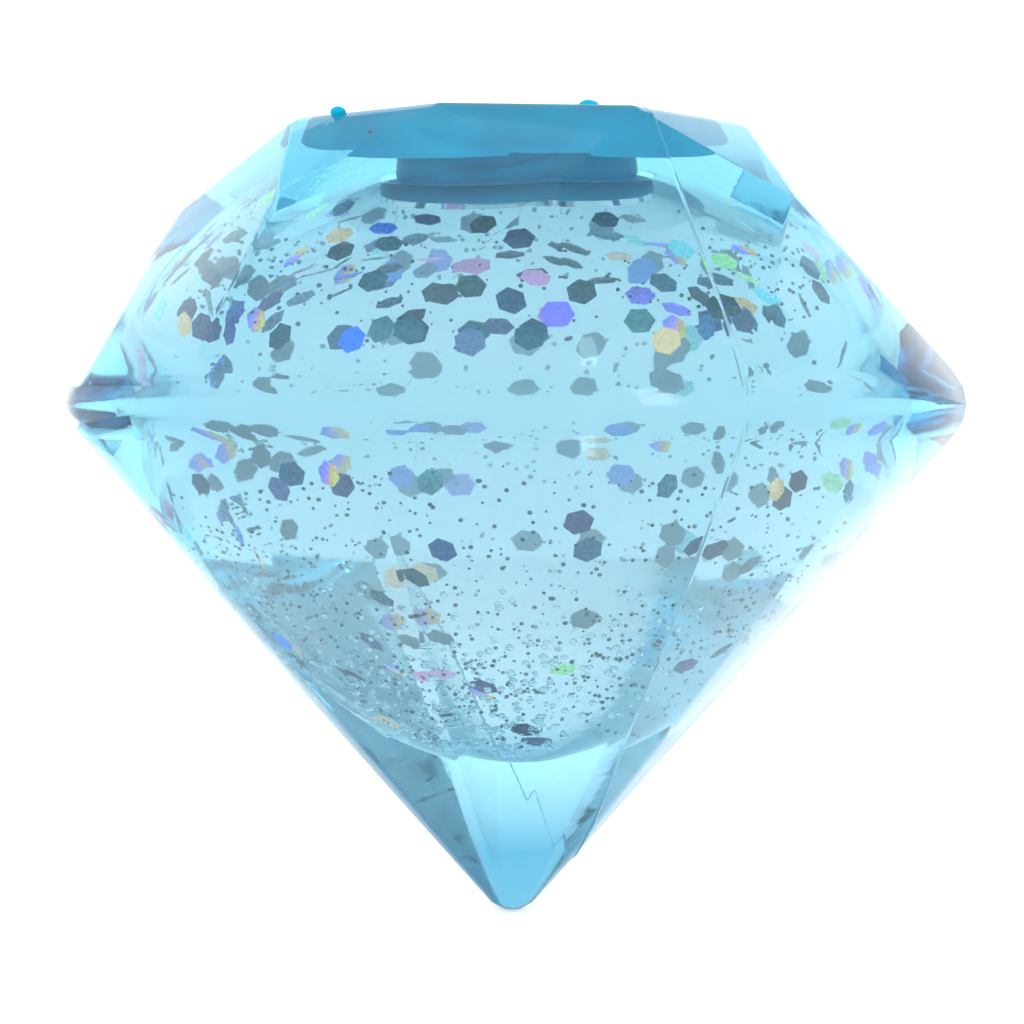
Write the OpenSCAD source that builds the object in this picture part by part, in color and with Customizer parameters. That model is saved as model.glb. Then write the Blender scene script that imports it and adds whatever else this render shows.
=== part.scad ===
// Gem-shaped squeeze ball: a clear soft rubber shell, filled with liquid and
// glitter through a hole in its flat top and closed with a coloured plug.
// Millimetres. The origin is the centre of the flat top, called the table, and
// +Z points out of it. The tip is at the bottom.

/* [Outer shape] */
// Radius to the corners of the girdle, the widest ring, before it is rounded
girdle_r = 41.2; // [34:0.1:60]
// Radius to the corners of the table
table_r = 20.7; // [17:0.1:26]
// Height of the table above the girdle
crown_h = 24.3; // [20:0.1:32]
// Height above the girdle of the ring of corners between it and the table
star_h = 16.9; // [12:0.1:18]
// Depth of the sharp tip below the girdle, before it is rounded
pavilion_h = 47.2; // [39:0.1:60]
// Corners of the table; the girdle has twice as many
table_sides = 8; // [6, 8, 10]
// Rounding radius at the table's corners
table_round = 2.2; // [1:0.1:3]
// Rounding radius at the ring of corners under the table
star_round = 2.6; // [1:0.1:4]
// Rounding radius at the girdle's corners
girdle_round = 3.9; // [2:0.1:5]
// Rounding radius of the tip
tip_round = 2.9; // [1.5:0.1:4]

/* [Cavity] */
// Rubber between the girdle's sharp corners and the cavity
girdle_wall = 13.5; // [11:0.1:17]
// Rubber between the table and the cavity, on the axis
table_wall = 8.2; // [5:0.1:10]
// Rubber between the sharp tip and the cavity, on the axis
tip_wall = 18.4; // [15:0.1:24]
// Roundness of the cavity's upper half, where 2 is an ellipse
crown_power = 2; // [1.8:0.1:2.4]
// Roundness of the cavity's lower half, where 1 is a cone
pavilion_power = 1.7; // [1.5:0.1:2]

/* [Filling plug] */
// Clear rubber left between the plug's seat and the middle of each table side
table_rim = 3.2; // [2.6:0.1:5]
// Width of the sealant bead round the plug's head
sealant_w = 0.6; // [0.4:0.1:1]
// Depth of the sealant bead below the table
sealant_drop = 0.2; // [0.1:0.1:0.5]
// Thickness of the plug's head
head_h = 6; // [2.5:0.1:6.5]
// Radius of the plug's stem and of the filling hole
stem_r = 8.4; // [6:0.1:9.5]
// How far the retaining lip stands out from the stem
lip_w = 1.2; // [0.8:0.1:1.6]
// Height of the retaining lip
lip_h = 2.2; // [1.2:0.1:2.4]
// Chamfer on the lip's lower edge, which leads it into the hole
lip_chamfer = 0.6; // [0.3:0.1:0.8]

/* [Liquid] */
// Gap between the liquid and the rubber, so that the filling can turn
fill_gap = 0.25; // [0.15:0.05:0.5]

/* [Glitter] */
// Radius of a flake to its corners
flake_r = 1.25; // [0.8:0.05:1.4]
// Thickness of a flake
flake_t = 0.1; // [0.05:0.05:0.2]
// Spacing of the places that a flake may take along the wall
flake_pitch = 3.6; // [3.4:0.1:5]
// Depth of the outer layer of flakes below the cavity's wall
outer_layer = 1.7; // [1.4:0.1:2.4]
// Depth of the inner layer of flakes below the cavity's wall
inner_layer = 7; // [6:0.5:9]
// Most that a flake leans away from the wall's direction
flake_lean = 18; // [0:1:20]
// Share of places taken where the flakes are thinnest
thin_share = 0.10; // [0.05:0.01:0.3]
// Share of places taken where the flakes are thickest
thick_share = 0.62; // [0.3:0.01:0.8]
// Heading of the side where the flakes have gathered, from +X
thick_side = 215; // [0:5:355]
// Radius of a fine speck to its corners
speck_r = 0.2; // [0.15:0.05:0.3]
// Spacing of the fine specks along the wall
speck_pitch = 7; // [6:0.5:12]
// Depth of the fine specks below the cavity's wall
speck_layer = 3.2; // [3:0.1:4]

/* [Hidden] */
round_fn = 96;
ball_fn = 16;
overcut = 1;
golden_turn = 137.508;

girdle_z = -crown_h;
star_z = girdle_z + star_h;
tip_z = girdle_z - pavilion_h;
side_turn = 360 / table_sides;
table_flat = table_r * cos(side_turn / 2);
// The crown's main facets stay flat when the ring of corners lies in their planes.
star_r = (table_r + (girdle_r - table_r) * (1 - star_h / crown_h)) / cos(side_turn / 2);

cavity_r = girdle_r - girdle_wall;
cavity_up = crown_h - table_wall;
cavity_down = pavilion_h - tip_wall;

seat_r = table_flat - table_rim;
head_r = seat_r - sealant_w;
lip_r = stem_r + lip_w;
lip_gap = 0.3;
lip_top_z = ceiling_z(lip_r) - lip_gap;
lip_low_z = lip_top_z - lip_h;
notch_r = lip_r + fill_gap;
notch_z = lip_low_z - fill_gap;

// Flakes are sorted by the colour that they flash, each in its share of the whole.
flash_shares = [0.36, 0.20, 0.11, 0.09, 0.09, 0.08, 0.07];

function unit(v) = v / norm(v);

// Centre of the ball that rounds a corner p between the edges to a and b, in a meridian plane.
function ball_centre(p, a, b, r) =
    let (u = unit(a - p), v = unit(b - p)) p + unit(u + v) * r / sin(acos(u * v) / 2);

// The cavity's wall, drawn in by inset, at an angle from -90 at its foot to 90 at its top.
function wall_r(angle, inset) =
    (cavity_r - inset) * pow(cos(angle), 2 / (angle < 0 ? pavilion_power : crown_power));
function wall_z(angle, inset) = girdle_z + (angle < 0
    ? -(cavity_down - inset) * pow(-sin(angle), 2 / pavilion_power)
    : (cavity_up - inset) * pow(sin(angle), 2 / crown_power));
function wall_lean(angle, inset) = atan2(
    wall_r(angle - 1, inset) - wall_r(angle + 1, inset),
    wall_z(angle + 1, inset) - wall_z(angle - 1, inset));
function ceiling_z(r) =
    girdle_z + cavity_up * pow(1 - pow(r / cavity_r, crown_power), 1 / crown_power);
function wall_outline(inset) = concat(
    [[0, wall_z(-90, inset)]],
    [for (angle = [-85 : 5 : 85]) [wall_r(angle, inset), wall_z(angle, inset)]],
    [[0, wall_z(90, inset)]]);

// Places spread evenly over a layer: [heading, angle, inset, spin, lean, lean, draw, flash draw].
function layer_area(inset) =
    4 * PI * pow((2 * (cavity_r - inset) + (cavity_up + cavity_down) / 2 - inset) / 3, 2);
function places(inset, pitch, seed) =
    let (count = floor(layer_area(inset) / (pitch * pitch)), draw = rands(0, 1, 5 * count, seed))
    [for (i = [0 : count - 1]) [
        (i * golden_turn) % 360, asin(1 - (2 * i + 1) / count), inset, 360 * draw[5 * i],
        flake_lean * (2 * draw[5 * i + 1] - 1), flake_lean * (2 * draw[5 * i + 2] - 1),
        draw[5 * i + 3], draw[5 * i + 4]]];
function clear_of_plug(p, reach) =
    wall_r(p[1], p[2]) > notch_r + reach || wall_z(p[1], p[2]) < notch_z - reach;
function clear_of_foot(p, reach) = wall_r(p[1], p[2]) > reach || p[1] > 0;
// Flakes gather in the crown and towards one side.
function share_at(p) =
    let (high = (1 + sin(p[1])) / 2, near = (1 + cos(p[0] - thick_side)) / 2)
    thin_share + (thick_share - thin_share) * pow(high, 1.5) * (0.35 + 0.65 * near);
function shares_up_to(k) = k < 0 ? 0 : flash_shares[k] + shares_up_to(k - 1);

flakes = [for (p = concat(places(outer_layer, flake_pitch, 11), places(inner_layer, flake_pitch, 23)))
    if (p[6] < share_at(p) && clear_of_plug(p, flake_r + overcut) && clear_of_foot(p, flake_r)) p];
specks = [for (p = places(speck_layer, speck_pitch, 37))
    if (clear_of_plug(p, speck_r + overcut) && clear_of_foot(p, speck_r)) p];

// A ball whose top and bottom are exact points, so that the table comes out at its height.
module ball(r) {
    rotate_extrude($fn = ball_fn)
        intersection() {
            circle(r, $fn = ball_fn);
            translate([0, -r]) square([r, 2 * r]);
        }
}

module ring_of_balls(count, first_turn, centre, r) {
    for (i = [0 : count - 1])
        rotate([0, 0, first_turn + i * 360 / count])
            translate([centre[0], 0, centre[1]])
                ball(r);
}

module gem() {
    table_corner = [table_r, 0];
    star_corner = [star_r, star_z];
    girdle_corner = [girdle_r, girdle_z];
    tip = [0, tip_z];
    hull() {
        ring_of_balls(table_sides, side_turn / 2,
            ball_centre(table_corner, [0, 0], girdle_corner, table_round), table_round);
        ring_of_balls(table_sides, 0,
            ball_centre(star_corner, [table_flat, 0], girdle_corner, star_round), star_round);
        ring_of_balls(2 * table_sides, 0,
            ball_centre(girdle_corner, table_corner, tip, girdle_round), girdle_round);
        translate([0, 0, ball_centre(tip, girdle_corner, [-girdle_r, girdle_z], tip_round)[1]])
            ball(tip_round);
    }
}

module shell() {
    color([0.72, 0.90, 0.95, 0.45])
        difference() {
            gem();
            rotate_extrude($fn = round_fn) polygon(wall_outline(0));
            translate([0, 0, girdle_z]) cylinder(r = stem_r, h = crown_h + overcut, $fn = round_fn);
            translate([0, 0, -head_h]) cylinder(r = seat_r, h = head_h + overcut, $fn = round_fn);
        }
}

module filling_plug() {
    color([0.0, 0.60, 0.76])
        rotate_extrude($fn = round_fn)
            polygon([
                [0, 0], [head_r, 0], [head_r, -head_h], [stem_r, -head_h], [stem_r, lip_top_z],
                [lip_r, lip_top_z], [lip_r, lip_low_z + lip_chamfer],
                [lip_r - lip_chamfer, lip_low_z], [0, lip_low_z]]);
}

module sealant_bead() {
    color([0.10, 0.66, 0.80])
        translate([0, 0, -head_h])
            difference() {
                cylinder(r = seat_r, h = head_h - sealant_drop, $fn = round_fn);
                translate([0, 0, -overcut])
                    cylinder(r = head_r, h = head_h + 2 * overcut, $fn = round_fn);
            }
}

module hexagon(p, r) {
    rotate([0, 0, p[0]])
        translate([wall_r(p[1], p[2]), 0, wall_z(p[1], p[2])])
            rotate([0, 90 - wall_lean(p[1], p[2]), 0])
                rotate([p[4], p[5], 0])
                    rotate([0, 0, p[3]])
                        cylinder(r = r, h = flake_t, center = true, $fn = 6);
}

module flakes_that_flash(k) {
    for (p = flakes)
        if (p[7] >= shares_up_to(k - 1) && p[7] < shares_up_to(k))
            hexagon(p, flake_r);
}

module fine_specks() {
    color([0.30, 0.42, 0.46])
        for (p = specks)
            hexagon(p, speck_r);
}

module liquid_fill() {
    color([0.78, 0.93, 0.96, 0.35])
        difference() {
            rotate_extrude($fn = round_fn) polygon(wall_outline(fill_gap));
            translate([0, 0, notch_z]) cylinder(r = notch_r, h = -notch_z, $fn = round_fn);
            for (p = flakes)
                hexagon(p, flake_r);
            for (p = specks)
                hexagon(p, speck_r);
        }
}

module glitter_teal() {
    color([0.22, 0.50, 0.54]) flakes_that_flash(0);
}

module glitter_slate() {
    color([0.24, 0.32, 0.40]) flakes_that_flash(1);
}

module glitter_blue() {
    color([0.08, 0.42, 0.70]) flakes_that_flash(2);
}

module glitter_violet() {
    color([0.38, 0.36, 0.74]) flakes_that_flash(3);
}

module glitter_pink() {
    color([0.86, 0.62, 0.76]) flakes_that_flash(4);
}

module glitter_gold() {
    color([0.90, 0.66, 0.42]) flakes_that_flash(5);
}

module glitter_lime() {
    color([0.66, 0.92, 0.66]) flakes_that_flash(6);
}

shell();
filling_plug();
sealant_bead();
liquid_fill();
glitter_teal();
glitter_slate();
glitter_blue();
glitter_violet();
glitter_pink();
glitter_gold();
glitter_lime();
fine_specks();
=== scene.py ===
"""Looks of a clear rubber ball cut like a gem, filled with liquid and glitter.

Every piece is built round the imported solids, in metres, with the origin in the
middle of the gem's flat top and +Z out of it.
"""

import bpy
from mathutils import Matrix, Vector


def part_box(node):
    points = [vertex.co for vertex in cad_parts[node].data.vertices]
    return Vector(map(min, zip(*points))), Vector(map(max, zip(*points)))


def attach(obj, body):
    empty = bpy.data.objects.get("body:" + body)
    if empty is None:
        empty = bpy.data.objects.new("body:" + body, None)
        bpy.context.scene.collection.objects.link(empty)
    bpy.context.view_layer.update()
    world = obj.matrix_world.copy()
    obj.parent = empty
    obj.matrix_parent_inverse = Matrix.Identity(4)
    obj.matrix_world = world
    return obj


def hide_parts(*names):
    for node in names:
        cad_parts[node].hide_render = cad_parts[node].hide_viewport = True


bl_info = {
    "name": "Glitter Gem Ball",
    "version": (1, 0, 0),
    "blender": (4, 5, 0),
    "location": "3D View > Sidebar > Gem Ball",
    "description": "Builds a clear gem-shaped ball with liquid, glitter and bubbles inside",
    "category": "Object",
}

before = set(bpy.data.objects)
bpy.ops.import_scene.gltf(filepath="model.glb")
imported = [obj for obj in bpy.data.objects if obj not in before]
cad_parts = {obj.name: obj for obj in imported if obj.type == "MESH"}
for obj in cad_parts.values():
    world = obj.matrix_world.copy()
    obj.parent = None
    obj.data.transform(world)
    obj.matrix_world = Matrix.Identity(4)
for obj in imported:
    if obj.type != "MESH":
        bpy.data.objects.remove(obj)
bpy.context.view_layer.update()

from math import atan2, cos, pi, radians, sin
from types import SimpleNamespace

import bmesh
import bpy
import numpy as np
from bpy.props import (
    FloatProperty,
    FloatVectorProperty,
    IntProperty,
    PointerProperty,
)
from mathutils import Vector

MM = 0.001
ROUND_STEPS = 96
SAME_PLACE = 2e-6  # rings and points nearer than this are one

# How much each body bends light. These are lower than in real rubber and water, to keep the lower half bright.
RUBBER_INDEX = 1.27
LIQUID_INDEX = 1.29
AIR_INDEX = 0.775  # air, as seen from inside the liquid

# Heights between which the rubber under the cavity turns from thin to solid; over them painted shade deepens the
# rubber's surface colour towards the tip
SOLID_FROM = -50 * MM
SOLID_TO = -63 * MM
GATHERED_HEADING = radians(235)  # where specks and bubbles have gathered

FLOOR_FLAT = 0.45  # radius of the floor's flat part
FLOOR_SWEEP = 0.35  # radius of the curve that takes the floor up into a wall
FLOOR_WALL = 0.75  # height of the wall

# Each kind of flake: the tone of its foil and the colour that it flashes, which the flashing flakes also give off as
# a painted glow in place of reflected light.
FLAKES = {
    "teal": ((0.025, 0.160, 0.230), (0.25, 0.80, 0.85)),
    "slate": ((0.030, 0.075, 0.130), (0.12, 0.20, 0.34)),
    "blue": ((0.015, 0.150, 0.320), (0.02, 0.20, 0.85)),
    "violet": ((0.080, 0.110, 0.330), (0.30, 0.22, 0.95)),
    "pink": ((0.120, 0.170, 0.300), (0.95, 0.45, 0.75)),
    "gold": ((0.090, 0.190, 0.260), (1.00, 0.58, 0.30)),
    "lime": ((0.050, 0.260, 0.260), (0.55, 1.00, 0.45)),
}


# ---------------------------------------------------------------- sizes and colours


def colour_setting(name, description, default):
    return FloatVectorProperty(
        name=name, description=description, default=default, subtype="COLOR", size=3, min=0, max=1
    )


def length_setting(name, description, default):
    return FloatProperty(name=name, description=description, default=default, unit="LENGTH")


def angle_setting(name, description, default):
    return FloatProperty(name=name, description=description, default=default, subtype="ANGLE")


def amount_setting(name, description, default):
    return FloatProperty(name=name, description=description, default=default, min=0)


class GemShellSettings(bpy.types.PropertyGroup):
    tint: colour_setting("Rubber Tint", "Colour that deep rubber lets through", (0.04, 0.73, 0.87))
    tint_density: amount_setting("Tint Density", "How fast the rubber takes up its tint, per metre", 27.0)
    thin_colour: colour_setting("Thin Colour", "Surface tint over the cavity", (0.86, 0.955, 0.985))
    # Painted shade and reflection: a deeper blue on the solid tip's surface, standing for the long light path through
    # thick rubber and the plug seen inside it
    solid_tip_shade: colour_setting("Solid Tip Shade", "Surface tint over the solid tip", (0.13, 0.40, 0.55))
    seam_offset: length_setting(
        "Seam Offset",
        "Distance of the mould's parting line from the axis",
        4.88 * MM,
    )
    seam_heading: angle_setting(
        "Seam Heading",
        "Turn of the parting line from the middle of the front",
        radians(12.6),
    )
    seam_width: length_setting("Seam Width", "Width of the parting line's ridge", 0.5 * MM)
    seam_height: length_setting("Seam Height", "Height of the parting line's ridge", 0.14 * MM)


class GemPlugSettings(bpy.types.PropertyGroup):
    colour: colour_setting("Plug Colour", "Colour of the plug's rubber", (0.0, 0.36, 0.56))
    smear_colour: colour_setting(
        "Smear Colour",
        "Colour of the streaks that were not mixed in",
        (0.0, 0.20, 0.36),
    )
    rounding: length_setting("Plug Rounding", "Rounding of the plug's rim", 0.3 * MM)
    gate_radius: length_setting(
        "Gate Mark Radius",
        "Radius of the mark left where the plug was filled",
        1.5 * MM,
    )


class GemLiquidSettings(bpy.types.PropertyGroup):
    tint: colour_setting("Liquid Tint", "Colour that the liquid lets through", (0.75, 0.95, 0.99))
    tint_density: amount_setting(
        "Liquid Tint Density",
        "How fast the liquid takes up its tint, per metre",
        4.0,
    )
    haze: amount_setting("Haze", "How much light fine dust in the liquid scatters, per metre", 20.0)
    speck_count: IntProperty(
        name="Specks",
        description="About how many fine specks drift in the liquid",
        default=2600,
        min=0,
    )
    speck_radius: length_setting("Speck Radius", "Radius of a common speck", 0.17 * MM)
    bubble_count: IntProperty(
        name="Bubbles",
        description="About how many air bubbles have gathered",
        default=420,
        min=0,
    )
    bubble_radius: length_setting("Bubble Radius", "Radius of a common bubble", 0.34 * MM)


class GemFlakeSettings(bpy.types.PropertyGroup):
    radius: length_setting("Flake Radius", "Radius of a flake to its corners", 1.25 * MM)
    thickness: length_setting("Flake Thickness", "Thickness of the foil", 0.06 * MM)
    dish: length_setting("Flake Dish", "How far a flake's corners bend back", 0.07 * MM)
    girdle_gap: length_setting(
        "Girdle Gap",
        "Least height between a flake and the gem's widest ring, whose rounded edge would smear it",
        3.2 * MM,
    )
    # Strength of the glow painted on the flashing flakes in place of their reflected flash
    flash: amount_setting("Flash", "Strength of the colour that the foil flashes", 0.35)


class GemStageSettings(bpy.types.PropertyGroup):
    floor_colour: colour_setting("Floor Colour", "Colour of the pale floor", (0.93, 0.93, 0.93))
    floor_glow: amount_setting(
        "Floor Glow",
        "Light that comes up through the floor, as from a light table",
        0.46,
    )
    heading: angle_setting(
        "Camera Heading",
        "Turn of the camera round the gem from the middle of its front",
        radians(-6.07),
    )
    elevation: angle_setting("Camera Elevation", "Angle of the camera above the gem's middle", radians(3.2))
    distance: length_setting(
        "Camera Distance",
        "Distance of the camera from the point that it looks at",
        0.1976,
    )
    aim_height: length_setting(
        "Aim Height",
        "Height of the point on the axis that the camera looks at",
        -0.0340,
    )
    lens: FloatProperty(
        name="Lens",
        description="Focal length of the camera, in millimetres",
        default=77.5,
        min=10,
    )


# ---------------------------------------------------------------- nodes and meshes


def node(tree, kind, inputs=None, **settings):
    """Adds a node, with its settings, and gives each named input a value or a link."""
    made = tree.nodes.new(kind)
    for name, value in settings.items():
        setattr(made, name, value)
    for key, value in (inputs or {}).items():
        socket = made.inputs[key]
        if isinstance(value, bpy.types.NodeSocket):
            tree.links.new(value, socket)
        else:
            socket.default_value = value
    return made


def maths(tree, operation, a, b=0.0, c=0.0):
    return node(tree, "ShaderNodeMath", {0: a, 1: b, 2: c}, operation=operation).outputs[0]


def blend_colour(tree, factor, a, b):
    """Colour a where factor is 0 and b where it is 1."""
    mix = node(tree, "ShaderNodeMix", data_type="RGBA")
    for socket, value in ((mix.inputs[0], factor), (mix.inputs[6], a), (mix.inputs[7], b)):
        if isinstance(value, bpy.types.NodeSocket):
            tree.links.new(value, socket)
        else:
            socket.default_value = value if isinstance(value, float) else (*value[:3], 1)
    return mix.outputs[2]


def spread(tree, value, low, high, to_low=0.0, to_high=1.0):
    """value from low to high, moved to the range from to_low to to_high and held there."""
    return node(
        tree,
        "ShaderNodeMapRange",
        {"Value": value, "From Min": low, "From Max": high, "To Min": to_low, "To Max": to_high},
    ).outputs[0]


def noise(tree, position, scale, detail, **more):
    inputs = {"Vector": position, "Scale": scale, "Detail": detail, **more}
    return node(tree, "ShaderNodeTexNoise", inputs).outputs["Fac"]


def random_value(tree, low, high, seed):
    inputs = {2: low, 3: high, "Seed": seed}
    return node(tree, "FunctionNodeRandomValue", inputs, data_type="FLOAT").outputs[1]


def new_group(name, kind, sockets):
    tree = bpy.data.node_groups.new(name, kind)
    for socket_name, direction, socket_type, value in sockets:
        socket = tree.interface.new_socket(
            name=socket_name, in_out=direction, socket_type=socket_type
        )
        if value is not None:
            socket.default_value = value
    return tree, tree.nodes.new("NodeGroupInput"), tree.nodes.new("NodeGroupOutput")


def object_coordinates(tree):
    return node(tree, "ShaderNodeTexCoord").outputs["Object"]


def new_material(name):
    """A material with its Principled shader, and its node tree."""
    material = bpy.data.materials.new(name)
    material.use_nodes = True
    return material, material.node_tree, material.node_tree.nodes["Principled BSDF"]


def new_object(name, mesh):
    made = bpy.data.objects.new(name, mesh)
    bpy.context.scene.collection.objects.link(made)
    return made


def from_bmesh(name, bm):
    mesh = bpy.data.meshes.new(name)
    bm.to_mesh(mesh)
    bm.free()
    return new_object(name, mesh)


def merged_node(name):
    """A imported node's mesh as a bmesh, with its loose triangles joined."""
    bm = bmesh.new()
    bm.from_mesh(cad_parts[name].data)
    bmesh.ops.remove_doubles(bm, verts=bm.verts, dist=1e-6)
    return bm


def lathe(profile, turns=None):
    """A bmesh turned from (radius, height) points, from the foot to the top, with its corners at the given turns."""
    turns = turns or [2 * pi * k / ROUND_STEPS for k in range(ROUND_STEPS)]
    steps = len(turns)
    bm = bmesh.new()
    rings = []
    for radius, height in profile:
        if radius < 1e-7:
            rings.append([bm.verts.new((0, 0, height))])
        else:
            rings.append([bm.verts.new((radius * cos(turn), radius * sin(turn), height)) for turn in turns])
    for low, high in zip(rings, rings[1:]):
        for k in range(steps):
            n = (k + 1) % steps
            if len(low) == 1:
                bm.faces.new((low[0], high[n], high[k]))
            elif len(high) == 1:
                bm.faces.new((low[k], low[n], high[0]))
            else:
                bm.faces.new((low[k], low[n], high[n], high[k]))
    return bm


def smooth_but_sharp(bm, angle):
    """Smooth faces, with an edge kept sharp where it turns by more than angle."""
    for face in bm.faces:
        face.smooth = True
    for edge in bm.edges:
        edge.smooth = len(edge.link_faces) == 2 and edge.calc_face_angle() < angle


def apply_nodes(holder, tree, values, name):
    """Runs a Geometry Nodes tree on holder, with its inputs by name, and keeps the result as a plain mesh."""
    modifier = holder.modifiers.new("Nodes", "NODES")
    modifier.node_group = tree
    for item in tree.interface.items_tree:
        if item.item_type == "SOCKET" and item.in_out == "INPUT" and item.name in values:
            modifier[item.identifier] = values[item.name]
    evaluated = holder.evaluated_get(bpy.context.evaluated_depsgraph_get())
    mesh = bpy.data.meshes.new_from_object(evaluated)
    mesh.name = name
    holder.modifiers.remove(modifier)
    bpy.data.objects.remove(holder)
    return new_object(name, mesh)


def finish_piece(piece, material, body, slot, *nodes):
    if material is not None:
        piece.data.materials.clear()
        piece.data.materials.append(material)
    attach(piece, body)
    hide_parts(*nodes)


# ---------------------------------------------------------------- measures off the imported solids


def rings_of(name):
    """Sorted (radius, height) of the rings that a packed round node is turned from."""
    bm = merged_node(name)
    found = {(round(v.co.xy.length, 6), round(v.co.z, 6)) for v in bm.verts}
    bm.free()
    return sorted(found)


def plug_sizes():
    """The plug's radii and heights, measured off its rings."""
    rings = rings_of("filling_plug")

    def radii(z0):
        return [r for r, z in rings if abs(z - z0) < SAME_PLACE]

    def heights(r0):
        return [z for r, z in rings if abs(r - r0) < SAME_PLACE]

    head_r = max(r for r, z in rings)
    head_z = min(heights(head_r))
    stem_r = min(r for r in radii(head_z) if r > 1e-6)
    lip_top = min(heights(stem_r))
    lip_r = max(radii(lip_top))
    foot_z = min(z for r, z in rings)
    return SimpleNamespace(
        head_r=head_r,
        head_z=head_z,
        stem_r=stem_r,
        lip_top=lip_top,
        lip_r=lip_r,
        lip_side=min(heights(lip_r)),
        foot_r=max(radii(foot_z)),
        foot_z=foot_z,
    )


def is_outside(face, middle):
    """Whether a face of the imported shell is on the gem's outside."""
    centre, normal = face.calc_center_median(), face.normal
    on_seat = normal.z > 0.9 and centre.xy.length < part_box("sealant_bead")[1].x and centre.z < -0.1 * MM
    return normal.dot(centre - middle) > 0 and not on_seat


def cavity_wall(hole_r):
    """(radius, height) of the cavity's wall from its foot up to the filling hole, in fine steps on a smooth curve."""
    bm = merged_node("shell")
    low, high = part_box("shell")
    middle = Vector((0, 0, high.z - 0.35 * (high.z - low.z)))
    seat_z = plug_sizes().head_z
    found = set()
    for face in bm.faces:
        centre = face.calc_center_median()
        in_hole = centre.xy.length < hole_r + 1e-5 and centre.z > 2 * seat_z
        if face.normal.dot(centre - middle) < 0 and centre.z < seat_z - 1e-5 and not in_hole:
            found |= {(v.co.z, v.co.xy.length) for v in face.verts}
    bm.free()
    wall = []
    for z, r in sorted(found):
        if not wall or (Vector((r, z)) - wall[-1]).length > 2e-6:
            wall.append(Vector((r, z)))
    knots = [wall[0]]
    for k in range(1, len(wall) - 1):
        before, here, after = knots[-1], wall[k], wall[k + 1]
        along = (after - before).normalized()
        if abs((here - before).cross(along)) > 4e-6:
            knots.append(here)
    knots.append(wall[-1])
    knots = [Vector((-knots[1].x, knots[1].y)), *knots, 2 * knots[-1] - knots[-2]]
    fine = []
    for a, b, c, d in zip(knots, knots[1:], knots[2:], knots[3:]):
        for k in range(4):
            t = k / 4
            fine.append(
                0.5 * (2 * b + (c - a) * t + (2 * a - 5 * b + 4 * c - d) * t * t + (3 * b - a - 3 * c + d) * t**3)
            )
    fine.append(knots[-2])
    fine[0].x = 0
    return [(p.x, p.y) for p in fine]


def swollen(profile, distance):
    """A profile moved outwards by a small distance."""
    points = [Vector(p) for p in profile]
    moved = []
    for k, point in enumerate(points):
        along = points[min(k + 1, len(points) - 1)] - points[max(k - 1, 0)]
        away = Vector((along.y, -along.x)).normalized()
        moved.append(tuple(point + away * distance))
    moved[0] = (0, moved[0][1])
    return moved


# ---------------------------------------------------------------- shared effects


def moulded_ripple():
    """The slow waviness of soft rubber that has shrunk in its mould, as a height."""
    tree, given, out = new_group(
        "Moulded Ripple",
        "ShaderNodeTree",
        (
            ("Position", "INPUT", "NodeSocketVector", None),
            ("Wave Scale", "INPUT", "NodeSocketFloat", 60.0),
            ("Grain Scale", "INPUT", "NodeSocketFloat", 900.0),
            ("Grain", "INPUT", "NodeSocketFloat", 0.08),
            ("Height", "OUTPUT", "NodeSocketFloat", None),
        ),
    )
    take = given.outputs
    wave = noise(tree, take["Position"], take["Wave Scale"], 1.0)
    grain = noise(tree, take["Position"], take["Grain Scale"], 2.0)
    height = maths(tree, "MULTIPLY_ADD", grain, take["Grain"], wave)
    tree.links.new(height, out.inputs["Height"])
    return tree


def handling_marks():
    """Smudges and fine rubs, as a roughness."""
    tree, given, out = new_group(
        "Handling Marks",
        "ShaderNodeTree",
        (
            ("Position", "INPUT", "NodeSocketVector", None),
            ("Clean", "INPUT", "NodeSocketFloat", 0.03),
            ("Marked", "INPUT", "NodeSocketFloat", 0.18),
            ("Mark Scale", "INPUT", "NodeSocketFloat", 45.0),
            ("Roughness", "OUTPUT", "NodeSocketFloat", None),
        ),
    )
    take = given.outputs
    smudge = noise(tree, take["Position"], take["Mark Scale"], 4.0, Roughness=0.6)
    rub = noise(tree, take["Position"], maths(tree, "MULTIPLY", take["Mark Scale"], 14.0), 3.0, Distortion=1.5)
    both = maths(tree, "MULTIPLY", spread(tree, smudge, 0.48, 0.72), spread(tree, rub, 0.40, 0.70))
    roughness = spread(tree, both, 0.0, 1.0, take["Clean"], take["Marked"])
    tree.links.new(roughness, out.inputs["Roughness"])
    return tree


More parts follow.
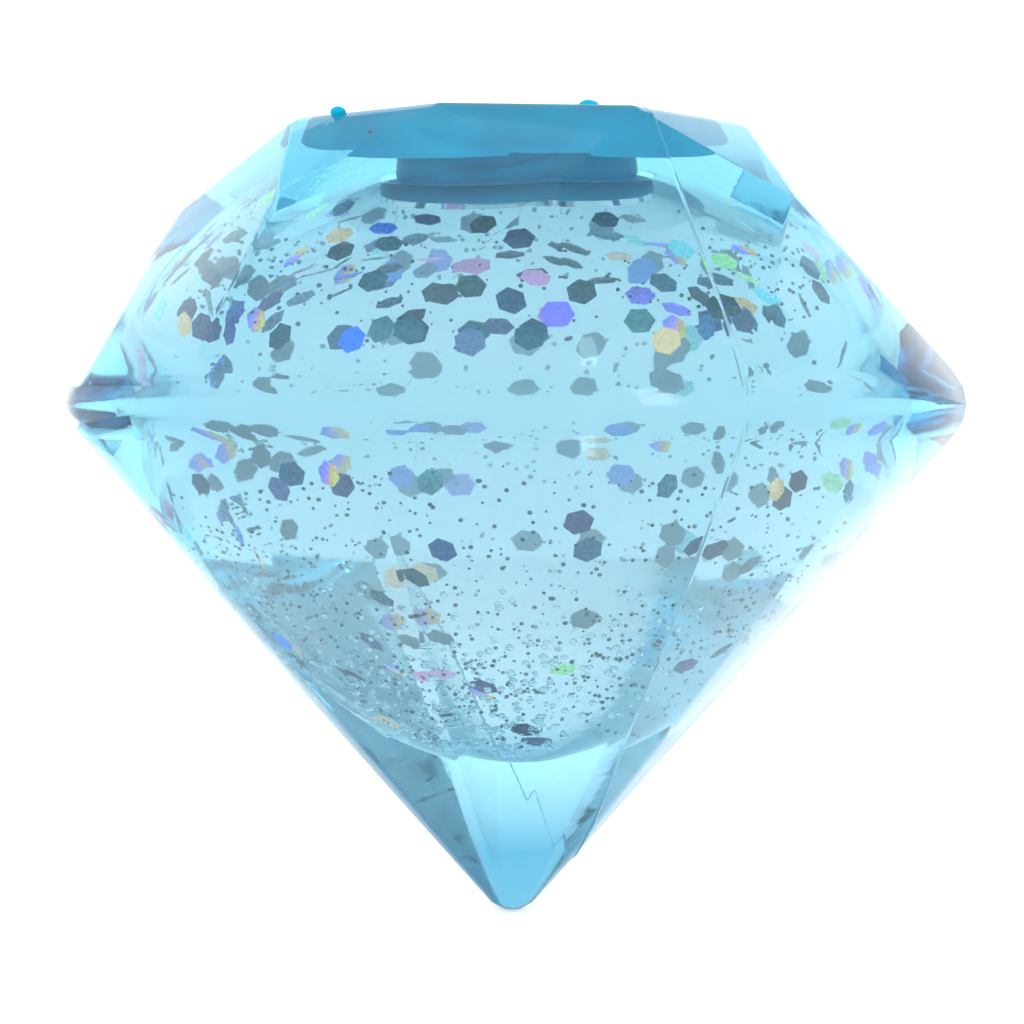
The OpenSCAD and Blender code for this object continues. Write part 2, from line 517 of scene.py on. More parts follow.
def foil_flash():
    """The two colours that a cut of holographic foil shows, its flash, given off as a glow painted in place of
    reflected light, and its roughness.
    """
    tree, given, out = new_group(
        "Foil Flash",
        "ShaderNodeTree",
        (
            ("Flash", "INPUT", "NodeSocketFloat", 0.5),
            ("Across", "INPUT", "NodeSocketFloat", 0.0),
            ("Position", "INPUT", "NodeSocketVector", None),
            ("Tone", "INPUT", "NodeSocketColor", None),
            ("Flash Colour", "INPUT", "NodeSocketColor", None),
            ("Bright Share", "INPUT", "NodeSocketFloat", 0.3),
            ("Split Share", "INPUT", "NodeSocketFloat", 0.15),
            ("Colour", "OUTPUT", "NodeSocketColor", None),
            ("Glow", "OUTPUT", "NodeSocketColor", None),
            ("Roughness", "OUTPUT", "NodeSocketFloat", None),
        ),
    )
    flash = given.outputs["Flash"]
    tone = node(
        tree,
        "ShaderNodeHueSaturation",
        {
            "Hue": spread(tree, flash, 0.0, 1.0, 0.47, 0.53),
            "Saturation": 1.0,
            "Value": spread(tree, maths(tree, "FRACT", maths(tree, "MULTIPLY", flash, 7.3)), 0.0, 1.0, 0.65, 1.6),
            "Color": given.outputs["Tone"],
        },
    ).outputs[0]
    bright = maths(tree, "LESS_THAN", flash, given.outputs["Bright Share"])
    colour = blend_colour(tree, bright, tone, given.outputs["Flash Colour"])
    ramp = node(tree, "ShaderNodeValToRGB", {"Fac": spread(tree, given.outputs["Across"], -1.0, 1.0)})
    stops = ramp.color_ramp.elements
    stops[0].position, stops[0].color = 0.0, (0.95, 0.80, 0.12, 1)
    stops[1].position, stops[1].color = 1.0, (0.20, 0.22, 0.90, 1)
    for place, shade in ((0.42, (0.98, 0.45, 0.30, 1)), (0.58, (0.50, 0.30, 0.95, 1))):
        stops.new(place).color = shade
    split = maths(
        tree,
        "LESS_THAN",
        maths(tree, "FRACT", maths(tree, "MULTIPLY", flash, 17.0)),
        given.outputs["Split Share"],
    )
    colour = blend_colour(tree, split, colour, ramp.outputs["Color"])
    # Painted glint: the flakes that flash give off their colour as a glow
    lit = maths(tree, "MAXIMUM", bright, split)
    glow = blend_colour(tree, lit, (0.0, 0.0, 0.0), colour)
    ruling = noise(tree, given.outputs["Position"], 2600.0, 1.0)
    tree.links.new(colour, out.inputs["Colour"])
    tree.links.new(glow, out.inputs["Glow"])
    tree.links.new(spread(tree, ruling, 0.3, 0.7, 0.18, 0.38), out.inputs["Roughness"])
    return tree


def shared(name, maker):
    return bpy.data.node_groups.get(name) or maker()


def put_group(tree, group, inputs):
    return node(tree, "ShaderNodeGroup", inputs, node_tree=group).outputs


def rippled(tree, shader, strength, distance, **values):
    """Gives a shader the moulded ripple as its normal."""
    group = shared("Moulded Ripple", moulded_ripple)
    height = put_group(tree, group, {"Position": object_coordinates(tree), **values})["Height"]
    bump = node(tree, "ShaderNodeBump", {"Height": height, "Strength": strength, "Distance": distance})
    tree.links.new(bump.outputs[0], shader.inputs["Normal"])


def marked(tree, shader, clean, marks, scale):
    """Gives a shader the handling marks as its roughness."""
    group = shared("Handling Marks", handling_marks)
    outputs = put_group(
        tree,
        group,
        {"Position": object_coordinates(tree), "Clean": clean, "Marked": marks, "Mark Scale": scale},
    )
    tree.links.new(outputs["Roughness"], shader.inputs["Roughness"])


# ---------------------------------------------------------------- materials


def absorbing(tree, tint, density, haze=0.0):
    """Fills a material's inside with its tint and, where haze is over 0, with fine dust that scatters light."""
    volume = node(tree, "ShaderNodeVolumeAbsorption", {"Color": (*tint, 1), "Density": density})
    if haze:
        dust = node(
            tree,
            "ShaderNodeVolumeScatter",
            {"Color": (0.93, 0.99, 1.0, 1), "Density": haze, "Anisotropy": 0.2},
        )
        volume = node(tree, "ShaderNodeAddShader", {0: volume.outputs[0], 1: dust.outputs[0]})
    tree.links.new(volume.outputs[0], tree.nodes["Material Output"].inputs["Volume"])


def clear_rubber(settings):
    material, tree, shader = new_material("Clear aqua rubber")
    place = node(tree, "ShaderNodeSeparateXYZ", {0: object_coordinates(tree)}).outputs
    # Painted shade and reflection: the surface colour turns deeper blue towards the solid tip, in place of its long
    # light path and the plug seen in it
    solid = spread(tree, place[2], SOLID_FROM, SOLID_TO)
    tip_shaded = blend_colour(tree, solid, settings.thin_colour, settings.solid_tip_shade)
    tree.links.new(tip_shaded, shader.inputs["Base Color"])
    shader.inputs["Transmission Weight"].default_value = 0.97
    shader.inputs["IOR"].default_value = RUBBER_INDEX
    marked(tree, shader, 0.02, 0.16, 40.0)
    rippled(tree, shader, 0.35, 0.25 * MM)
    absorbing(tree, settings.tint, settings.tint_density)
    return material


def pale_liquid_material(settings):
    material, tree, shader = new_material("Pale blue liquid")
    shader.inputs["Base Color"].default_value = (0.92, 0.98, 1.0, 1)
    shader.inputs["Transmission Weight"].default_value = 1.0
    shader.inputs["IOR"].default_value = LIQUID_INDEX
    shader.inputs["Roughness"].default_value = 0.0
    rippled(tree, shader, 0.10, 0.2 * MM, **{"Wave Scale": 90.0})
    absorbing(tree, settings.tint, settings.tint_density, settings.haze)
    return material


def turquoise_rubber(name, settings, smear):
    """Opaque rubber, streaked where its colour was not mixed in and specked with stray pigment."""
    material, tree, shader = new_material(name)
    place = object_coordinates(tree)
    stretched = node(
        tree, "ShaderNodeMapping", {"Vector": place, "Scale": (55.0, 210.0, 210.0), "Rotation": (0.0, 0.0, 0.35)}
    ).outputs[0]
    streak = noise(tree, stretched, 1.0, 4.0, Distortion=1.2)
    cloud = noise(tree, place, 130.0, 2.0)
    green, blue = settings.colour[1:]
    paler = (0.0, min(green * 1.25, 1), min(blue * 1.15, 1))
    colour = blend_colour(tree, spread(tree, cloud, 0.35, 0.65), settings.colour, paler)
    colour = blend_colour(tree, spread(tree, streak, 0.56, 0.72, 0.0, smear), colour, settings.smear_colour)
    cells = node(tree, "ShaderNodeTexVoronoi", {"Vector": place, "Scale": 260.0, "Randomness": 1.0})
    draw = node(tree, "ShaderNodeSeparateColor", {0: cells.outputs["Color"]}).outputs[0]
    few = maths(tree, "GREATER_THAN", draw, 0.93)
    dots = maths(tree, "MULTIPLY", spread(tree, cells.outputs["Distance"], 0.06, 0.10, 1.0, 0.0), few)
    colour = blend_colour(tree, dots, colour, (0.22, 0.05, 0.03))
    tree.links.new(colour, shader.inputs["Base Color"])
    shader.inputs["Subsurface Weight"].default_value = 0.1
    shader.inputs["Specular IOR Level"].default_value = 0.1
    shader.inputs["Subsurface Radius"].default_value = (0.2, 0.6, 1.0)
    shader.inputs["Subsurface Scale"].default_value = 0.6 * MM
    marked(tree, shader, 0.32, 0.55, 80.0)
    rippled(tree, shader, 0.3, 0.2 * MM, **{"Wave Scale": 160.0, "Grain": 0.25})
    return material


def foil(kind, settings):
    tone, flash = FLAKES[kind]
    material, tree, shader = new_material(f"{kind.capitalize()} holographic foil")
    group = shared("Foil Flash", foil_flash)
    dark = kind in ("teal", "slate")
    outputs = put_group(
        tree,
        group,
        {
            "Flash": node(tree, "ShaderNodeAttribute", attribute_name="flash").outputs["Fac"],
            "Across": node(tree, "ShaderNodeAttribute", attribute_name="across").outputs["Fac"],
            "Position": object_coordinates(tree),
            "Tone": (*tone, 1),
            "Flash Colour": (*flash, 1),
            "Bright Share": 0.08 if dark else 0.50,
            "Split Share": 0.02 if dark else 0.10,
        },
    )
    tree.links.new(outputs["Colour"], shader.inputs["Base Color"])
    # Painted reflection: the foil's flash is given off as emission, not reflected from a lamp
    tree.links.new(outputs["Glow"], shader.inputs["Emission Color"])
    tree.links.new(outputs["Roughness"], shader.inputs["Roughness"])
    shader.inputs["Emission Strength"].default_value = settings.flash
    shader.inputs["Metallic"].default_value = 0.35
    shader.inputs["Specular IOR Level"].default_value = 0.3
    return material


def speck_foil():
    material, tree, shader = new_material("Fine dark glitter")
    shade = noise(tree, object_coordinates(tree), 420.0, 1.0)
    colour = blend_colour(tree, spread(tree, shade, 0.3, 0.7), (0.035, 0.10, 0.13), (0.12, 0.26, 0.30))
    tree.links.new(colour, shader.inputs["Base Color"])
    marked(tree, shader, 0.3, 0.6, 300.0)
    return material


def air():
    """The inside of a bubble, which bends light the other way because it is thinner than the liquid."""
    material = bpy.data.materials.new("Air in liquid")
    material.use_nodes = True
    tree = material.node_tree
    tree.nodes.remove(tree.nodes["Principled BSDF"])
    glass = node(tree, "ShaderNodeBsdfGlass", {"IOR": AIR_INDEX, "Roughness": 0.0, "Color": (0.97, 0.99, 1.0, 1)})
    group = shared("Moulded Ripple", moulded_ripple)
    height = put_group(tree, group, {"Position": object_coordinates(tree), "Wave Scale": 900.0})["Height"]
    bump = node(tree, "ShaderNodeBump", {"Height": height, "Strength": 0.08, "Distance": 0.1 * MM})
    tree.links.new(bump.outputs[0], glass.inputs["Normal"])
    tree.links.new(glass.outputs[0], tree.nodes["Material Output"].inputs["Surface"])
    return material


def pale_floor(colour, glow):
    material, tree, shader = new_material("Pale floor")
    mottle = noise(tree, object_coordinates(tree), 9.0, 3.0)
    shade = blend_colour(tree, spread(tree, mottle, 0.3, 0.7), tuple(c * 0.99 for c in colour), tuple(colour))
    tree.links.new(shade, shader.inputs["Base Color"])
    shader.inputs["Roughness"].default_value = 0.75
    shader.inputs["Specular IOR Level"].default_value = 0.1
    tree.links.new(shade, shader.inputs["Emission Color"])
    shader.inputs["Emission Strength"].default_value = glow
    return material


# ---------------------------------------------------------------- geometry node trees


def flake_tree():
    """Puts a thin six-sided plate on each point, faced and turned as the point's attributes say."""
    tree, given, out = new_group(
        "Flakes on Points",
        "GeometryNodeTree",
        (
            ("Geometry", "INPUT", "NodeSocketGeometry", None),
            ("Radius", "INPUT", "NodeSocketFloat", 1.25 * MM),
            ("Thickness", "INPUT", "NodeSocketFloat", 0.06 * MM),
            ("Dish", "INPUT", "NodeSocketFloat", 0.07 * MM),
            ("Size Spread", "INPUT", "NodeSocketFloat", 0.04),
            ("Seed", "INPUT", "NodeSocketInt", 3),
            ("Material", "INPUT", "NodeSocketMaterial", None),
            ("Geometry", "OUTPUT", "NodeSocketGeometry", None),
        ),
    )
    plate = node(
        tree,
        "GeometryNodeMeshCylinder",
        {"Vertices": 6, "Radius": given.outputs["Radius"], "Depth": given.outputs["Thickness"]},
        fill_type="TRIANGLE_FAN",
    ).outputs["Mesh"]
    position = node(tree, "GeometryNodeInputPosition").outputs[0]
    parts = node(tree, "ShaderNodeSeparateXYZ", {0: position}).outputs
    squared = maths(tree, "MULTIPLY_ADD", parts[0], parts[0], maths(tree, "MULTIPLY", parts[1], parts[1]))
    away = maths(tree, "DIVIDE", maths(tree, "SQRT", squared), given.outputs["Radius"])
    drop = maths(tree, "MULTIPLY", maths(tree, "MULTIPLY", away, given.outputs["Dish"]), -1.0)
    bent = node(
        tree,
        "GeometryNodeSetPosition",
        {"Geometry": plate, "Offset": node(tree, "ShaderNodeCombineXYZ", {"Z": drop}).outputs[0]},
    ).outputs[0]
    across = node(
        tree,
        "GeometryNodeStoreNamedAttribute",
        {"Geometry": bent, "Name": "across", "Value": maths(tree, "DIVIDE", parts[0], given.outputs["Radius"])},
        data_type="FLOAT",
        domain="POINT",
    ).outputs[0]

    def vector(name):
        named = node(tree, "GeometryNodeInputNamedAttribute", {"Name": name}, data_type="FLOAT_VECTOR")
        return named.outputs["Attribute"]

    turn = node(
        tree,
        "FunctionNodeAxesToRotation",
        {"Primary Axis": vector("facing"), "Secondary Axis": vector("corner")},
        primary_axis="Z",
        secondary_axis="X",
    ).outputs[0]
    smallest = maths(tree, "SUBTRACT", 1.0, given.outputs["Size Spread"])
    size = random_value(tree, smallest, 1.0, given.outputs["Seed"])
    placed = node(
        tree,
        "GeometryNodeInstanceOnPoints",
        {
            "Points": given.outputs["Geometry"],
            "Instance": across,
            "Rotation": turn,
            "Scale": node(tree, "ShaderNodeCombineXYZ", {0: size, 1: size, 2: 1.0}).outputs[0],
        },
    ).outputs[0]
    draw = random_value(tree, 0.0, 1.0, maths(tree, "ADD", given.outputs["Seed"], 100.0))
    drawn = node(
        tree,
        "GeometryNodeStoreNamedAttribute",
        {"Geometry": placed, "Name": "flash", "Value": draw},
        data_type="FLOAT",
        domain="INSTANCE",
    ).outputs[0]
    real = node(tree, "GeometryNodeRealizeInstances", {"Geometry": drawn}).outputs[0]
    flat = node(tree, "GeometryNodeSetShadeSmooth", {"Geometry": real, "Shade Smooth": False}).outputs[0]
    coated = node(tree, "GeometryNodeSetMaterial", {"Geometry": flat, "Material": given.outputs["Material"]})
    tree.links.new(coated.outputs[0], out.inputs[0])
    return tree


def drift_tree():
    """Scatters small round bodies under a surface, more of them low down and towards one heading."""
    tree, given, out = new_group(
        "Drift under Surface",
        "GeometryNodeTree",
        (
            ("Geometry", "INPUT", "NodeSocketGeometry", None),
            ("Density", "INPUT", "NodeSocketFloat", 200000.0),
            ("Even Share", "INPUT", "NodeSocketFloat", 0.4),
            ("Top", "INPUT", "NodeSocketFloat", -12.0 * MM),
            ("Foot", "INPUT", "NodeSocketFloat", -52.0 * MM),
            ("Belt", "INPUT", "NodeSocketFloat", -23.0 * MM),
            ("Belt Half", "INPUT", "NodeSocketFloat", 4.5 * MM),
            ("Heading", "INPUT", "NodeSocketFloat", radians(225)),
            ("Narrowness", "INPUT", "NodeSocketFloat", 1.0),
            ("Shallowest", "INPUT", "NodeSocketFloat", 0.6 * MM),
            ("Deepest", "INPUT", "NodeSocketFloat", 6.0 * MM),
            ("Radius", "INPUT", "NodeSocketFloat", 0.2 * MM),
            ("Smallest", "INPUT", "NodeSocketFloat", 0.6),
            ("Largest", "INPUT", "NodeSocketFloat", 1.2),
            ("Segments", "INPUT", "NodeSocketInt", 6),
            ("Rings", "INPUT", "NodeSocketInt", 4),
            ("Seed", "INPUT", "NodeSocketInt", 1),
            ("Material", "INPUT", "NodeSocketMaterial", None),
            ("Geometry", "OUTPUT", "NodeSocketGeometry", None),
        ),
    )
    take = given.outputs
    place = node(tree, "ShaderNodeSeparateXYZ", {0: node(tree, "GeometryNodeInputPosition").outputs[0]}).outputs
    low = spread(tree, place[2], take["Top"], take["Foot"])
    turn = maths(tree, "SUBTRACT", maths(tree, "ARCTAN2", place[1], place[0]), take["Heading"])
    near = maths(
        tree,
        "POWER",
        maths(tree, "MULTIPLY_ADD", maths(tree, "COSINE", turn), 0.5, 0.5),
        take["Narrowness"],
    )
    gathered = maths(tree, "MULTIPLY", low, near)
    share = maths(
        tree,
        "MULTIPLY_ADD",
        maths(tree, "SUBTRACT", 1.0, take["Even Share"]),
        gathered,
        take["Even Share"],
    )
    below_top = maths(tree, "LESS_THAN", place[2], take["Top"])
    from_belt = maths(tree, "ABSOLUTE", maths(tree, "SUBTRACT", place[2], take["Belt"]))
    open_here = maths(tree, "MULTIPLY", below_top, maths(tree, "GREATER_THAN", from_belt, take["Belt Half"]))
    points = node(
        tree,
        "GeometryNodeDistributePointsOnFaces",
        {
            "Mesh": take["Geometry"],
            "Density": maths(tree, "MULTIPLY", maths(tree, "MULTIPLY", share, open_here), take["Density"]),
            "Seed": take["Seed"],
        },
        distribute_method="RANDOM",
    )
    depth = random_value(tree, take["Shallowest"], take["Deepest"], maths(tree, "ADD", take["Seed"], 7.0))
    inward = node(
        tree,
        "ShaderNodeVectorMath",
        {0: points.outputs["Normal"], "Scale": maths(tree, "MULTIPLY", depth, -1.0)},
        operation="SCALE",
    ).outputs[0]
    sunk = node(tree, "GeometryNodeSetPosition", {"Geometry": points.outputs["Points"], "Offset": inward}).outputs[0]
    body = node(
        tree,
        "GeometryNodeMeshUVSphere",
        {"Segments": take["Segments"], "Rings": take["Rings"], "Radius": take["Radius"]},
    ).outputs[0]
    size = random_value(tree, take["Smallest"], take["Largest"], maths(tree, "ADD", take["Seed"], 13.0))
    placed = node(
        tree, "GeometryNodeInstanceOnPoints", {"Points": sunk, "Instance": body, "Scale": size}
    ).outputs[0]
    real = node(tree, "GeometryNodeRealizeInstances", {"Geometry": placed}).outputs[0]
    smooth = node(tree, "GeometryNodeSetShadeSmooth", {"Geometry": real, "Shade Smooth": True}).outputs[0]
    coated = node(tree, "GeometryNodeSetMaterial", {"Geometry": smooth, "Material": take["Material"]})
    tree.links.new(coated.outputs[0], out.inputs[0])
    return tree


# ---------------------------------------------------------------- pieces

WETTING = 0.03 * MM  # how far wetted and bonded faces run into each other


def raise_seam(bm, outside, settings):
    """Cuts the parting line into the gem's outside and lifts it into a fine ridge."""
    across = Vector((cos(settings.seam_heading), sin(settings.seam_heading), 0))
    half = settings.seam_width / 2
    for shift in (-half, half, 0):
        faces = [f for f in bm.faces if f[outside] and f.calc_center_median().z < -1e-5]
        edges = {e for f in faces for e in f.edges}
        verts = {v for f in faces for v in f.verts}
        bmesh.ops.bisect_plane(
            bm,
            geom=[*faces, *edges, *verts],
            dist=1e-7,
            plane_co=across * (settings.seam_offset + shift),
            plane_no=across,
        )
    bm.normal_update()
    ridge = [
        v
        for v in bm.verts
        if abs(v.co.dot(across) - settings.seam_offset) < 1e-6
        and v.co.z < -0.3 * MM
        and all(f[outside] for f in v.link_faces)
    ]
    for vert in ridge:
        vert.co += vert.normal * settings.seam_height


class GEM_OT_shell(bpy.types.Operator):
    """Make the clear rubber shell, with its parting line"""

    bl_idname = "gem_ball.shell"
    bl_label = "Clear Shell"

    def execute(self, context):
        settings = context.scene.gem_shell
        bm = merged_node("shell")
        low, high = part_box("shell")
        middle = Vector((0, 0, high.z - 0.35 * (high.z - low.z)))
        outside = bm.faces.layers.int.new("outside")
        for face in bm.faces:
            face[outside] = is_outside(face, middle)
        facets = [
            e
            for e in bm.edges
            if len(e.link_faces) == 2
            and all(f[outside] and f.calc_center_median().z < -1e-5 for f in e.link_faces)
        ]
        bmesh.ops.dissolve_limit(bm, angle_limit=radians(0.2), verts=[], edges=facets)
        raise_seam(bm, outside, settings)
        bmesh.ops.delete(bm, geom=[f for f in bm.faces if not f[outside]], context="FACES")
        plug, seat_r = plug_sizes(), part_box("sealant_bead")[1].x
        rim = {v for e in bm.edges if len(e.link_faces) == 1 for v in e.verts}
        turns = sorted(atan2(v.co.y, v.co.x) for v in rim)
        seat = [(plug.stem_r, plug.head_z), (seat_r, plug.head_z), (seat_r, high.z)]
        inside = lathe([*cavity_wall(plug.stem_r), *seat], turns)
        bmesh.ops.reverse_faces(inside, faces=inside.faces)
        lining = bpy.data.meshes.new("lining")
        inside.to_mesh(lining)
        inside.free()
        bm.from_mesh(lining)
        bpy.data.meshes.remove(lining)
        bmesh.ops.remove_doubles(bm, verts=bm.verts, dist=2e-6)
        if any(len(edge.link_faces) != 2 for edge in bm.edges):
            raise RuntimeError("the shell's lining doesn't meet the seat's rim")
        smooth_but_sharp(bm, radians(40))
        bm.verts.index_update()
        facets = [v.index for v in bm.verts if any(f[outside] for f in v.link_faces)]
        shell = from_bmesh("clear_shell", bm)
        shell.vertex_groups.new(name="facets").add(facets, 1.0, "REPLACE")
        weighted = shell.modifiers.new("Even facets", "WEIGHTED_NORMAL")
        weighted.mode = "FACE_AREA"
        weighted.weight = 100
        weighted.keep_sharp = True
        weighted.vertex_group = "facets"
        finish_piece(shell, clear_rubber(settings), "ball", "shell", "shell")
        return {"FINISHED"}


class GEM_OT_plug(bpy.types.Operator):
    """Make the turquoise plug, the sealant round it and the sealant that ran over the rim"""

    bl_idname = "gem_ball.plug"
    bl_label = "Plug and Sealant"

    def execute(self, context):
        settings = context.scene.gem_plug
        size = plug_sizes()
        turn, gate = settings.rounding, settings.gate_radius
        sink = 0.18 * MM
        stem = size.stem_r + WETTING
        profile = [
            (0, size.foot_z),
            (size.foot_r * 0.6, size.foot_z),
            (size.foot_r, size.foot_z),
            (size.lip_r, size.lip_side),
            (size.lip_r, size.lip_top),
            (stem, size.lip_top),
            (stem, size.head_z - WETTING),
            (size.head_r, size.head_z - WETTING),
            (size.head_r, -turn),
            (size.head_r - turn * 0.3, -turn * 0.3),
            (size.head_r - turn, 0),
            (size.head_r * 0.72, -sink * 0.5),
            (size.head_r * 0.4, -sink),
            (gate * 1.5, -sink),
            (gate * 1.2, -sink - 0.05 * MM),
            (gate, -sink - 0.35 * MM),
            (gate * 0.4, -sink - 0.4 * MM),
            (0, -sink - 0.25 * MM),
        ]
        bm = lathe(profile)
        smooth_but_sharp(bm, radians(40))
        plug = from_bmesh("turquoise_plug", bm)
        plug_look = turquoise_rubber("Turquoise rubber", settings, 0.75)
        finish_piece(plug, plug_look, "ball", "filling_plug", "filling_plug")

        low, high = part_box("sealant_bead")
        inner, outer = size.head_r - WETTING, high.x + WETTING
        middle = (inner + outer) / 2
        bm = lathe(
            [
                (inner, low.z),
                (outer, low.z),
                (outer, high.z),
                (middle, high.z - 0.12 * MM),
                (inner, high.z - 0.02 * MM),
                (inner, low.z),
            ]
        )
        bmesh.ops.remove_doubles(bm, verts=bm.verts, dist=1e-6)
        smooth_but_sharp(bm, radians(50))
        sealant = from_bmesh("sealant_ring", bm)
        sealant_look = turquoise_rubber("Turquoise sealant", settings, 0.35)
        finish_piece(sealant, sealant_look, "ball", "sealant_bead", "sealant_bead")

        for name, x, y, length in (
            ("sealant_smear_left", -15.7 * MM, -11.0 * MM, 0.8 * MM),
            ("sealant_smear_right", 4.4 * MM, -17.3 * MM, 1.05 * MM),
        ):
            bm = bmesh.new()
            bmesh.ops.create_icosphere(bm, subdivisions=3, radius=1.0)
            for vert in bm.verts:
                x0, y0, z0 = vert.co
                bulge = 1 + 0.18 * sin(3.1 * x0 + 1.7) * cos(2.3 * y0)
                vert.co = (x + x0 * length * bulge, y + y0 * 0.9 * MM * bulge, z0 * 0.4 * MM * bulge)
            smooth_but_sharp(bm, radians(80))
            smear = from_bmesh(name, bm)
            smear.data.materials.append(sealant_look)
            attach(smear, "ball")
        return {"FINISHED"}


class GEM_OT_liquid(bpy.types.Operator):
    """Make the liquid, wetting the cavity's wall and the plug"""

    bl_idname = "gem_ball.liquid"
    bl_label = "Liquid"

    def execute(self, context):
        settings = context.scene.gem_liquid
        plug = plug_sizes()
        wall = swollen(cavity_wall(plug.stem_r), WETTING)
        profile = [(r, z) for r, z in wall if r > plug.lip_r or z < plug.foot_z]
        side, foot = plug.lip_r - WETTING, plug.foot_z + WETTING
        profile += [(side, profile[-1][1]), (side, foot), (0, foot)]
        bm = lathe(profile)
        smooth_but_sharp(bm, radians(50))
        liquid = from_bmesh("pale_liquid", bm)
        finish_piece(liquid, pale_liquid_material(settings), "filling", "liquid_fill", "liquid_fill")
        return {"FINISHED"}


class GEM_OT_flakes(bpy.types.Operator):
    """Make the glitter flakes, one piece for each colour that they flash"""

    bl_idname = "gem_ball.flakes"
    bl_label = "Glitter Flakes"

    def execute(self, context):
        settings = context.scene.gem_flakes
        tree = flake_tree()
        shell = merged_node("shell")
        widest = max(shell.verts, key=lambda v: v.co.xy.length).co.z
        shell.free()
        for number, kind in enumerate(FLAKES):
            packed = f"glitter_{kind}"
            bm = merged_node(packed)
            left, plates = set(bm.verts), []
            while left:
                island, waiting = set(), [next(iter(left))]
                while waiting:
                    vert = waiting.pop()
                    if vert not in island:
                        island.add(vert)
                        waiting += [e.other_vert(vert) for e in vert.link_edges]
                left -= island
                corners = sorted((tuple(v.co) for v in island))
                points = np.array(corners)
                centre = points.mean(0)
                facing = np.linalg.svd(points - centre)[2][2]
                facing = facing if facing @ (centre - np.array((0, 0, -0.03))) > 0 else -facing
                corner = points[0] - centre
                corner -= (corner @ facing) * facing
                level = centre[2] - widest
                if abs(level) < settings.girdle_gap:
                    centre[2] += (settings.girdle_gap - abs(level)) * (1 if level > 0 else -1)
                plates.append((tuple(centre), facing, corner / np.linalg.norm(corner)))
            bm.free()
            plates.sort(key=lambda p: p[0])
            mesh = bpy.data.meshes.new("places")
            mesh.from_pydata([p[0] for p in plates], [], [])
            for name, column in (("facing", 1), ("corner", 2)):
                layer = mesh.attributes.new(name, "FLOAT_VECTOR", "POINT")
                layer.data.foreach_set("vector", np.concatenate([p[column] for p in plates]).astype(np.float32))
            flakes = apply_nodes(
                new_object("places", mesh),
                tree,
                {
                    "Radius": settings.radius,
                    "Thickness": settings.thickness,
                    "Dish": settings.dish,
                    "Seed": 3 + number,
                    "Material": foil(kind, settings),
                },
                f"flakes_{kind}",
            )
            finish_piece(flakes, None, "filling", packed, packed)
        return {"FINISHED"}


class GEM_OT_drift(bpy.types.Operator):
    """Make the fine specks and the air bubbles that drift in the liquid"""

    bl_idname = "gem_ball.drift"
    bl_label = "Specks and Bubbles"

    def execute(self, context):
        settings = context.scene.gem_liquid
        surface = bpy.data.objects["pale_liquid"].data
        area = sum(p.area for p in surface.polygons)
        tree = drift_tree()
        specks = apply_nodes(
            new_object("surface", surface.copy()),
            tree,
            {
                "Density": settings.speck_count / area * 1.6,
                "Even Share": 0.42,
                "Heading": GATHERED_HEADING,
                "Narrowness": 1.5,
                "Radius": settings.speck_radius,
                "Smallest": 0.5,
                "Largest": 1.25,
                "Deepest": 8.0 * MM,
                "Seed": 5,
                "Material": speck_foil(),
            },
            "dark_specks",
        )
        finish_piece(specks, None, "filling", "fine_specks", "fine_specks")
        bubbles = apply_nodes(
            new_object("surface", surface.copy()),
            tree,
            {
                "Density": settings.bubble_count / area * 22.0,
                "Even Share": 0.003,
                "Top": -36.0 * MM,
                "Foot": -52.0 * MM,
                "Heading": GATHERED_HEADING,
                "Narrowness": 3.0,
                "Radius": settings.bubble_radius,
                "Smallest": 0.35,
                "Largest": 1.1,
                "Shallowest": 0.4 * MM,
                "Deepest": 1.6 * MM,
                "Segments": 8,
                "Rings": 6,
                "Seed": 9,
                "Material": air(),
            },
            "air_bubbles",
        )
        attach(bubbles, "filling")
        return {"FINISHED"}


def add_light(name, place, aim, size_x, size_y, watts, colour):
    light = bpy.data.lights.new(name, "AREA")
    light.shape = "RECTANGLE"
    light.size, light.size_y = size_x, size_y
    light.energy, light.color = watts, colour
    made = bpy.data.objects.new(name, light)
    bpy.context.scene.collection.objects.link(made)
    made.location = place
    made.rotation_euler = (Vector(aim) - Vector(place)).to_track_quat("-Z", "Y").to_euler()


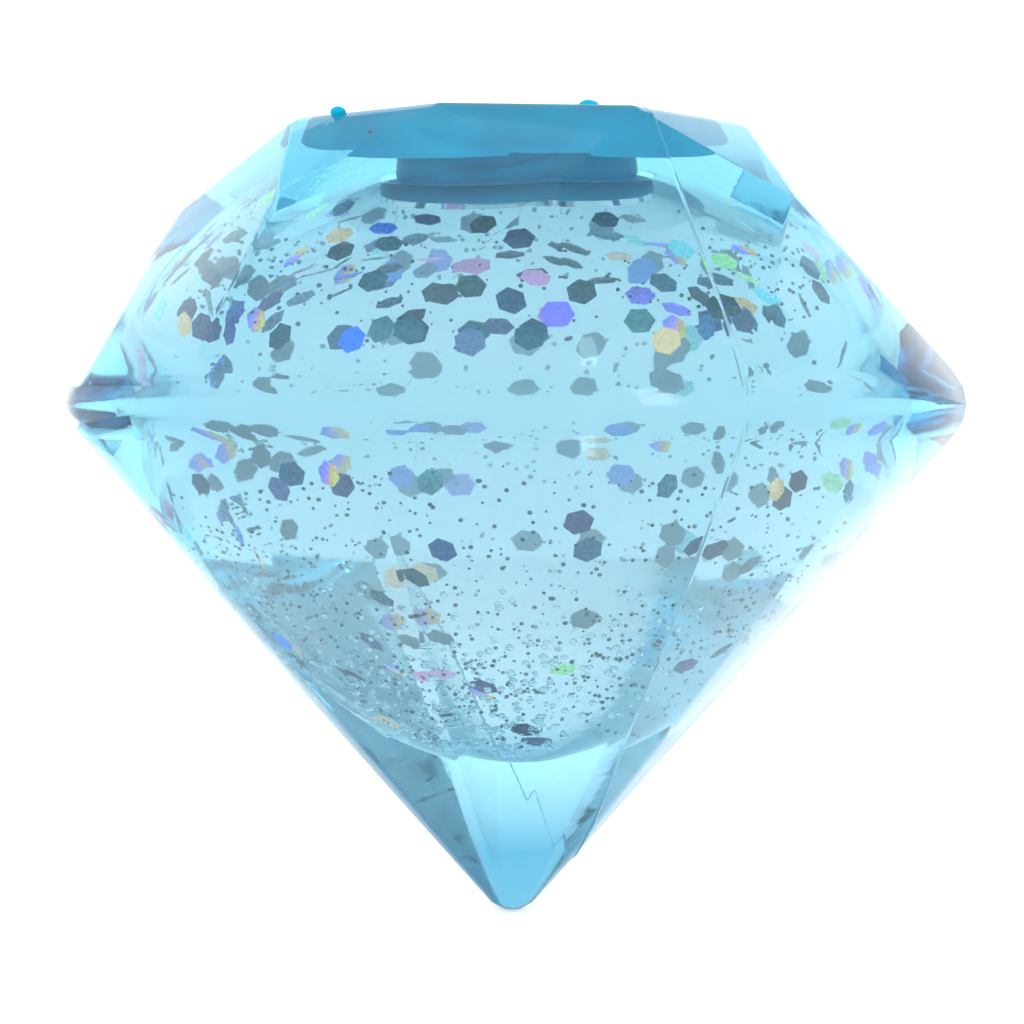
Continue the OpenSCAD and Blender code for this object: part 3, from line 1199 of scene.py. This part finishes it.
class GEM_OT_stage(bpy.types.Operator):
    """Make the pale floor, the soft lights and the camera"""

    bl_idname = "gem_ball.stage"
    bl_label = "Stage"

    def execute(self, context):
        settings = context.scene.gem_stage
        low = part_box("shell")[0]
        aim = Vector((0, 0, settings.aim_height))
        profile = [(0, 0), (0.2, 0), (FLOOR_FLAT, 0)]
        for a in (radians(9 * k) for k in range(1, 11)):
            profile.append((FLOOR_FLAT + FLOOR_SWEEP * sin(a), FLOOR_SWEEP * (1 - cos(a))))
        profile.append((FLOOR_FLAT + FLOOR_SWEEP, FLOOR_WALL))
        bm = lathe([(r, low.z + z) for r, z in profile])
        for face in bm.faces:
            face.smooth = True
        floor = from_bmesh("pale_floor", bm)
        floor.data.flip_normals()
        floor.data.materials.append(pale_floor(settings.floor_colour, settings.floor_glow))

        world = bpy.data.worlds.new("Soft room")
        world.use_nodes = True
        world.node_tree.nodes["Background"].inputs["Color"].default_value = (0.78, 0.90, 1.0, 1)
        world.node_tree.nodes["Background"].inputs["Strength"].default_value = 0.65
        context.scene.world = world
        add_light("Overhead softbox", (-0.15, -0.1, 0.85), aim, 0.9, 0.9, 1.5, (1.0, 0.99, 0.97))
        add_light("Tall strip", (0.22, -0.62, 0.05), aim, 0.07, 0.7, 1.2, (1.0, 1.0, 1.0))

        camera = bpy.data.cameras.new("Camera")
        camera.lens = settings.lens
        camera.sensor_width = 36
        camera.clip_start, camera.clip_end = 0.005, 10
        holder = bpy.data.objects.new("Camera", camera)
        context.scene.collection.objects.link(holder)
        level = cos(settings.elevation)
        away = Vector(
            (sin(settings.heading) * level, -cos(settings.heading) * level, sin(settings.elevation))
        )
        holder.location = aim + away * settings.distance
        holder.rotation_euler = (-away).to_track_quat("-Z", "Y").to_euler()
        context.scene.camera = holder

        context.scene.view_settings.view_transform = "Standard"
        cycles = context.scene.cycles
        cycles.max_bounces = 14
        cycles.diffuse_bounces = 4
        cycles.volume_bounces = 4
        cycles.glossy_bounces = 12
        cycles.transmission_bounces = 14
        cycles.transparent_max_bounces = 24
        return {"FINISHED"}


# ---------------------------------------------------------------- panel and registration

OPERATORS = (GEM_OT_shell, GEM_OT_plug, GEM_OT_liquid, GEM_OT_flakes, GEM_OT_drift, GEM_OT_stage)
SETTINGS = {
    "gem_shell": GemShellSettings,
    "gem_plug": GemPlugSettings,
    "gem_liquid": GemLiquidSettings,
    "gem_flakes": GemFlakeSettings,
    "gem_stage": GemStageSettings,
}


class GEM_PT_panel(bpy.types.Panel):
    """Lists the ball's pieces and their settings"""

    bl_idname = "GEM_PT_panel"
    bl_label = "Gem Ball"
    bl_space_type = "VIEW_3D"
    bl_region_type = "UI"
    bl_category = "Gem Ball"

    def draw(self, context):
        for operator in OPERATORS:
            self.layout.operator(operator.bl_idname)
        for name, group in SETTINGS.items():
            box = self.layout.box()
            for field in group.__annotations__:
                box.prop(getattr(context.scene, name), field)


def register():
    for group in SETTINGS.values():
        bpy.utils.register_class(group)
    for operator in (*OPERATORS, GEM_PT_panel):
        bpy.utils.register_class(operator)
    for name, group in SETTINGS.items():
        setattr(bpy.types.Scene, name, PointerProperty(type=group))


def unregister():
    for name in SETTINGS:
        delattr(bpy.types.Scene, name)
    for operator in (GEM_PT_panel, *reversed(OPERATORS)):
        bpy.utils.unregister_class(operator)
    for group in SETTINGS.values():
        bpy.utils.unregister_class(group)


def main():
    register()
    for operator in OPERATORS:
        area, name = operator.bl_idname.split(".")
        getattr(getattr(bpy.ops, area), name)()


if __name__ == "__main__":
    main()
